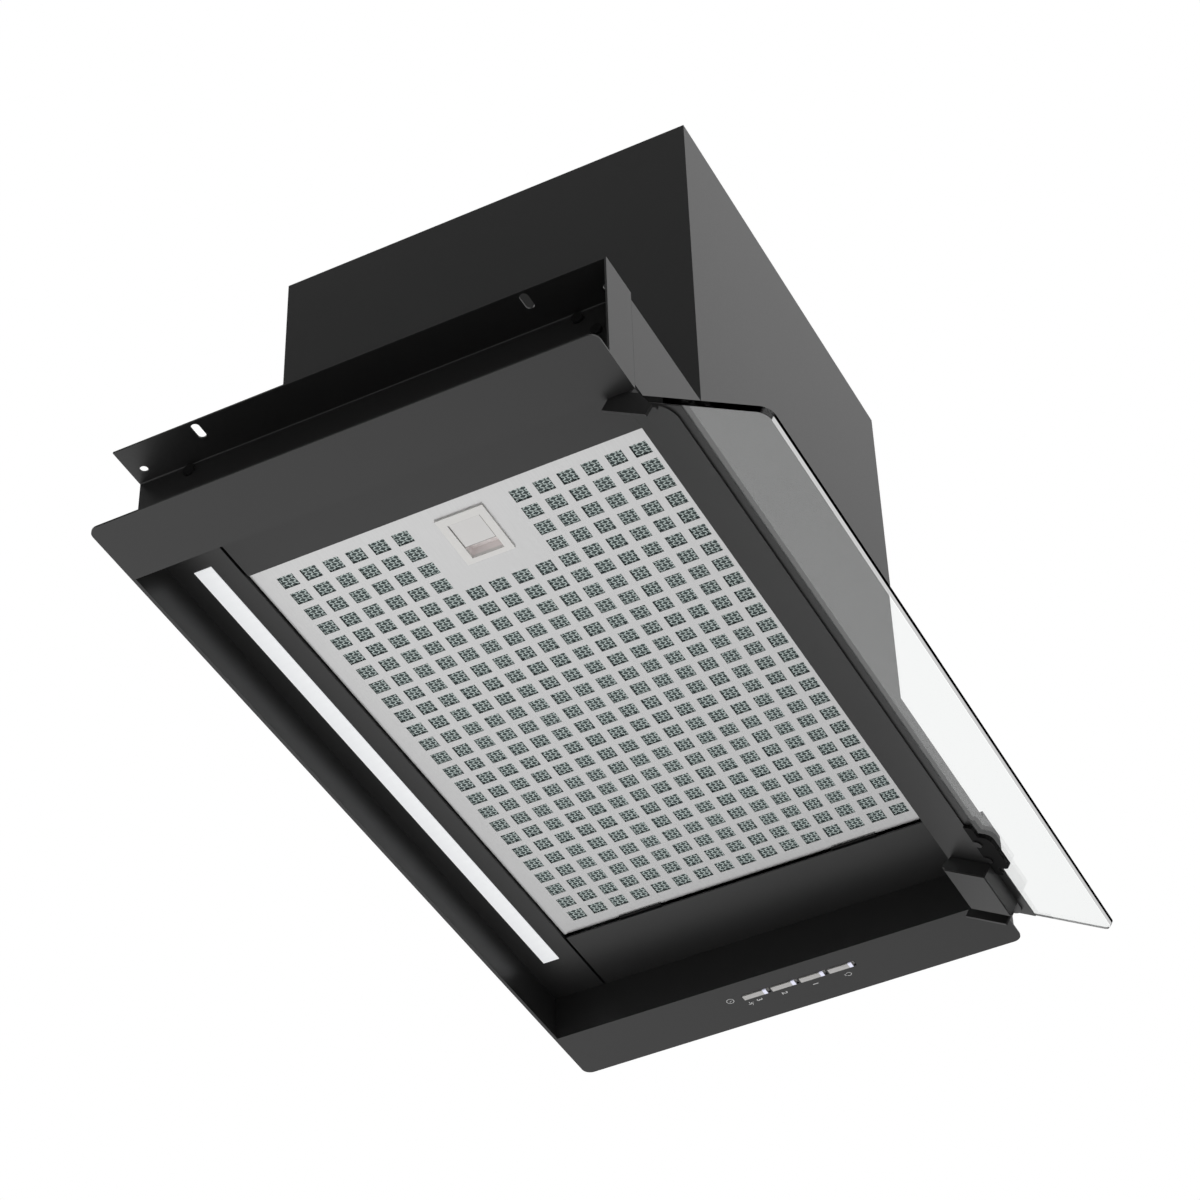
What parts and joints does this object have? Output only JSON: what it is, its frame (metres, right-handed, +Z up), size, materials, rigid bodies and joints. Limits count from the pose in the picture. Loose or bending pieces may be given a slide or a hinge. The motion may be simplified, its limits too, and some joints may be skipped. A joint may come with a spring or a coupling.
{
  "type": "built-in range hood",
  "caption": "Built-in extractor hood: sheet frame with side flanges, perforated grease filter, light strip, push buttons, tilting glass visor and a ducted motor housing.",
  "frame": {"origin": "centre of the opening plane, level with the underside of the two side flanges", "axes": "+X towards the button end, +Y towards the wall, +Z up to the duct"},
  "size_m": [0.598, 0.3862, 0.4261],
  "materials": {
    "rail_paint": "fine matt black powder coat",
    "housing_paint": "matt black powder coat",
    "inner_paint": "matt black powder coat",
    "zinc_sheet": "galvanised sheet",
    "filter_steel": "satin",
    "mesh_aluminium": "expanded mesh",
    "latch_plastic": "fine matt",
    "led_lens": "opal",
    "aluminium_plain": "extruded",
    "glass_clear": "polished, dark edge",
    "black_plastic": "moulded",
    "button_silver": "satin silver with a lit end",
    "steel_plain": "zinc plated",
    "grey_plastic": "moulded",
    "rubber_black": "matt",
    "board_green": "solder mask",
    "winding": "lacquered"
  },
  "bodies": {
    "hood": {"left_side_rail": "rail_paint", "right_side_rail": "rail_paint", "front_plate": "rail_paint", "rear_plate": "rail_paint", "filter_surround": "inner_paint", "light_panel": "inner_paint", "led_diffuser": "led_lens", "led_channel": "aluminium_plain", "led_board": "board_green", "top_deck": "zinc_sheet", "motor_housing": "housing_paint", "housing_lid": "housing_paint", "duct_collar": "black_plastic", "damper_pin": "steel_plain", "blower_scroll": "grey_plastic", "motor_stator": "winding", "motor_casing": "aluminium_plain", "motor_bearings": "steel_plain", "motor_bracket": "zinc_sheet", "rubber_bushes": "rubber_black", "motor_screws": "steel_plain", "control_box": "zinc_sheet", "control_box_cover": "zinc_sheet", "control_board": "board_green", "run_capacitor": "aluminium_plain", "terminal_block": "latch_plastic", "mains_gland": "black_plastic", "keypad_housing": "black_plastic", "keypad_board": "board_green", "frame_screws": "black_plastic", "lid_screws": "steel_plain"},
    "visor": {"visor_glass": "glass_clear", "visor_strip": "rail_paint", "visor_cover": "rail_paint", "left_hinge_block": "rail_paint", "right_hinge_block": "rail_paint", "hinge_pins": "steel_plain", "visor_clamp": "black_plastic", "clamp_screws": "black_plastic"},
    "filter": {"filter_plate": "filter_steel", "filter_mesh": "mesh_aluminium", "filter_back_plate": "filter_steel", "latch_frame": "latch_plastic"},
    "latch": {"latch_slider": "latch_plastic"},
    "fan_wheel": {"impeller": "grey_plastic", "motor_shaft": "steel_plain", "motor_rotor": "steel_plain"},
    "flap_front": {"damper_flap_front": "black_plastic"},
    "flap_rear": {"damper_flap_rear": "black_plastic"},
    "key_1": {"button_1": "button_silver"},
    "key_2": {"button_2": "button_silver"},
    "key_3": {"button_3": "button_silver"},
    "key_4": {"button_4": "button_silver"}
  },
  "joints": [
    {"name": "visor_tilt", "type": "hinge", "parent": "hood", "child": "visor", "pos_m": [0, -0.149, 0.005], "axis": [-1, 0, 0], "range_deg": [0, 31.2]},
    {"name": "filter_drop", "type": "hinge", "parent": "hood", "child": "filter", "pos_m": [0.196, -0.01165, 0.0344], "axis": [0, -1, 0], "range_deg": [0, 60]},
    {"name": "latch_slide", "type": "slide", "parent": "filter", "child": "latch", "axis": [1, 0, 0], "range_m": [0, 0.006], "stiffness_N_per_m": 150, "springref_m": -0.002},
    {"name": "fan_spin", "type": "hinge", "parent": "hood", "child": "fan_wheel", "pos_m": [0, -0.0176, 0.205], "axis": [1, 0, 0], "continuous": true},
    {"name": "flap_front_lift", "type": "hinge", "parent": "hood", "child": "flap_front", "pos_m": [0, 0.0454, 0.3406], "axis": [-1, 0, 0], "range_deg": [0, 75]},
    {"name": "flap_rear_lift", "type": "hinge", "parent": "hood", "child": "flap_rear", "pos_m": [0, 0.0454, 0.3406], "axis": [1, 0, 0], "range_deg": [0, 75]},
    {"name": "key_1_press", "type": "slide", "parent": "hood", "child": "key_1", "axis": [0, 0, 1], "range_m": [0, 0.001], "stiffness_N_per_m": 400, "springref_m": -0.002},
    {"name": "key_2_press", "type": "slide", "parent": "hood", "child": "key_2", "axis": [0, 0, 1], "range_m": [0, 0.001], "stiffness_N_per_m": 400, "springref_m": -0.002},
    {"name": "key_3_press", "type": "slide", "parent": "hood", "child": "key_3", "axis": [0, 0, 1], "range_m": [0, 0.001], "stiffness_N_per_m": 400, "springref_m": -0.002},
    {"name": "key_4_press", "type": "slide", "parent": "hood", "child": "key_4", "axis": [0, 0, 1], "range_m": [0, 0.001], "stiffness_N_per_m": 400, "springref_m": -0.002}
  ]
}
